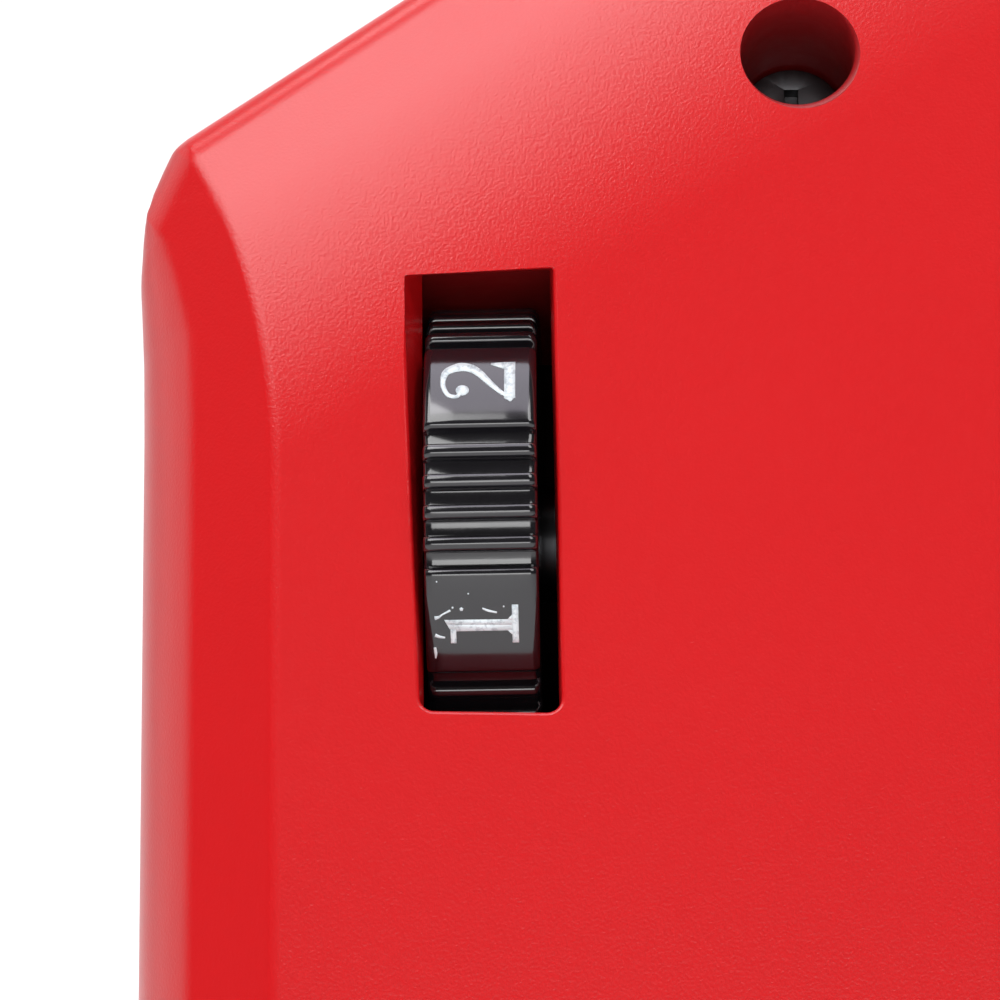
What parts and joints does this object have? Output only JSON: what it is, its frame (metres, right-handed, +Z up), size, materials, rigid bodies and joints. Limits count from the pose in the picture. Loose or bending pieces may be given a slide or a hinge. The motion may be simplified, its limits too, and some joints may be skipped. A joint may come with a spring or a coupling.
{
  "type": "key duplicating machine",
  "caption": "Bench-top key duplicating machine with a belt-driven cutter, tracer, tilting twin-vise carriage, chip tray and a leaning console with an edge-wheel speed dial.",
  "frame": {"origin": "middle of the footprint, on the surface the feet stand on", "axes": "+X along the spindle from the console toward the brush, +Y toward the back, +Z up; the operator stands on the -Y side"},
  "size_m": [0.32, 0.28, 0.195],
  "materials": {
    "aluminium": "machined",
    "black_gloss": "polished",
    "black_satin": "satin",
    "board_green": "solder mask",
    "bronze": "turned bronze",
    "clear": "clear sheet",
    "copper_core": "varnished laminations",
    "dark_steel": "black oxide",
    "grey_casting": "fine hammered enamel",
    "ground_steel": "ground",
    "oxide_primer": "matt red-brown primer",
    "panel_black": "powder coat",
    "polished_steel": "polished",
    "pot_case": "moulded",
    "red_housing": "moulded, fine spark-eroded satin grain",
    "rubber": "matt",
    "tool_steel": "ground and coated",
    "tray_sheet": "zinc plated sheet",
    "wire": "crimped wire"
  },
  "bodies": {
    "frame": {"base_casting": "grey_casting", "rubber_feet": "rubber", "head_casting": "grey_casting", "deck_screws": "dark_steel", "bearing_caps": "aluminium", "cap_screws": "dark_steel", "spindle_bearings": "polished_steel", "tracer_holder": "grey_casting", "small_screws": "dark_steel", "cutter_hood": "grey_casting", "shield_pin": "polished_steel", "carriage_brackets": "grey_casting", "carriage_shaft": "polished_steel", "park_rest": "grey_casting", "park_bar": "polished_steel", "motor_body": "grey_casting", "motor_fan_cap": "black_satin", "motor_cradle": "grey_casting", "drive_belt": "rubber", "shaft_tube": "grey_casting", "motor_cover": "red_housing", "console_housing": "red_housing", "console_screws": "dark_steel", "rear_panel": "panel_black", "power_inlet": "black_satin", "control_chassis": "oxide_primer", "pot_bracket": "oxide_primer", "pot_body": "pot_case", "control_board": "board_green", "board_parts": "black_satin", "switch_body": "black_satin"},
    "spindle": {"spindle_shaft": "ground_steel", "spindle_pulley": "aluminium", "cutter_flanges": "ground_steel", "cutter_wheel": "tool_steel", "spindle_nuts": "dark_steel", "brush_hub": "black_satin", "brush_bristles": "wire"},
    "rotor": {"motor_rotor": "copper_core", "motor_pulley": "aluminium"},
    "chip_tray": {"chip_tray": "tray_sheet"},
    "tracer_bar": {"tracer_finger": "ground_steel"},
    "tracer_screw": {"tracer_knob": "aluminium"},
    "shield": {"clear_shield": "clear"},
    "slider": {"carriage_bushes": "bronze"},
    "carriage": {"carriage_casting": "grey_casting", "vise_bases": "ground_steel", "vise_screws": "dark_steel", "vise_studs": "dark_steel", "handle_rod": "polished_steel", "handle_ball": "black_gloss", "gauge_rod": "polished_steel"},
    "gauge": {"gauge_fork": "ground_steel"},
    "left_jaw": {"upper_jaw_left": "ground_steel"},
    "right_jaw": {"upper_jaw_right": "ground_steel"},
    "left_knob": {"clamp_knob_left": "black_satin"},
    "right_knob": {"clamp_knob_right": "black_satin"},
    "speed_dial": {"dial_wheel": "black_gloss", "pot_shaft": "dark_steel"},
    "rocker": {"switch_rocker": "black_gloss"}
  },
  "joints": [
    {"name": "spindle_spin", "type": "hinge", "parent": "frame", "child": "spindle", "pos_m": [0, 0.028, 0.138], "axis": [1, 0, 0], "continuous": true},
    {"name": "motor_spin", "type": "hinge", "parent": "frame", "child": "rotor", "pos_m": [0, 0.097, 0.088], "axis": [1, 0, 0], "continuous": true},
    {"name": "carriage_slide", "type": "slide", "parent": "frame", "child": "slider", "axis": [1, 0, 0], "range_m": [-0.0135, 0.0135]},
    {"name": "carriage_tilt", "type": "hinge", "parent": "slider", "child": "carriage", "pos_m": [0, -0.032, 0.08], "axis": [-1, 0, 0], "range_deg": [0, 15]},
    {"name": "left_jaw_lift", "type": "slide", "parent": "carriage", "child": "left_jaw", "axis": [0, -0.2419, 0.9703], "range_m": [0, 0.0035]},
    {"name": "left_knob_turn", "type": "hinge", "parent": "left_jaw", "child": "left_knob", "pos_m": [0.001, -0.04796, 0.15641], "axis": [0, -0.2419, 0.9703], "range_deg": [0, 840]},
    {"name": "right_jaw_lift", "type": "slide", "parent": "carriage", "child": "right_jaw", "axis": [0, -0.2419, 0.9703], "range_m": [0, 0.0035]},
    {"name": "right_knob_turn", "type": "hinge", "parent": "right_jaw", "child": "right_knob", "pos_m": [0.096, -0.04796, 0.15641], "axis": [0, -0.2419, 0.9703], "range_deg": [0, 840]},
    {"name": "gauge_flip", "type": "hinge", "parent": "carriage", "child": "gauge", "pos_m": [0, -0.05454, 0.10633], "axis": [-1, 0, 0], "range_deg": [0, 90]},
    {"name": "tracer_adjust", "type": "slide", "parent": "frame", "child": "tracer_bar", "axis": [0, 1, 0], "range_m": [-0.001, 0.001]},
    {"name": "tracer_screw_turn", "type": "hinge", "parent": "frame", "child": "tracer_screw", "pos_m": [0.001, 0.047, 0.174], "axis": [0, 1, 0], "range_deg": [-720, 720]},
    {"name": "shield_swing", "type": "hinge", "parent": "frame", "child": "shield", "pos_m": [0.112, -0.005, 0.181], "axis": [-1, 0, 0], "range_deg": [0, 70]},
    {"name": "tray_slide", "type": "slide", "parent": "frame", "child": "chip_tray", "axis": [0, -1, 0], "range_m": [0, 0.09]},
    {"name": "dial_turn", "type": "hinge", "parent": "frame", "child": "speed_dial", "pos_m": [-0.1421, -0.07344, 0.14375], "axis": [1, 0, 0], "range_deg": [-20, 280]},
    {"name": "rocker_tilt", "type": "hinge", "parent": "frame", "child": "rocker", "pos_m": [-0.1041, -0.09002, 0.11048], "axis": [-1, 0, 0], "range_deg": [0, 16]}
  ],
  "couplings": [
    {"joint": "motor_spin", "follows": "spindle_spin", "ratio": 1.9412},
    {"joint": "left_knob_turn", "follows": "left_jaw_lift", "rad_per_m": 4188.8},
    {"joint": "right_knob_turn", "follows": "right_jaw_lift", "rad_per_m": 4188.8},
    {"joint": "tracer_screw_turn", "follows": "tracer_adjust", "rad_per_m": -12566}
  ]
}
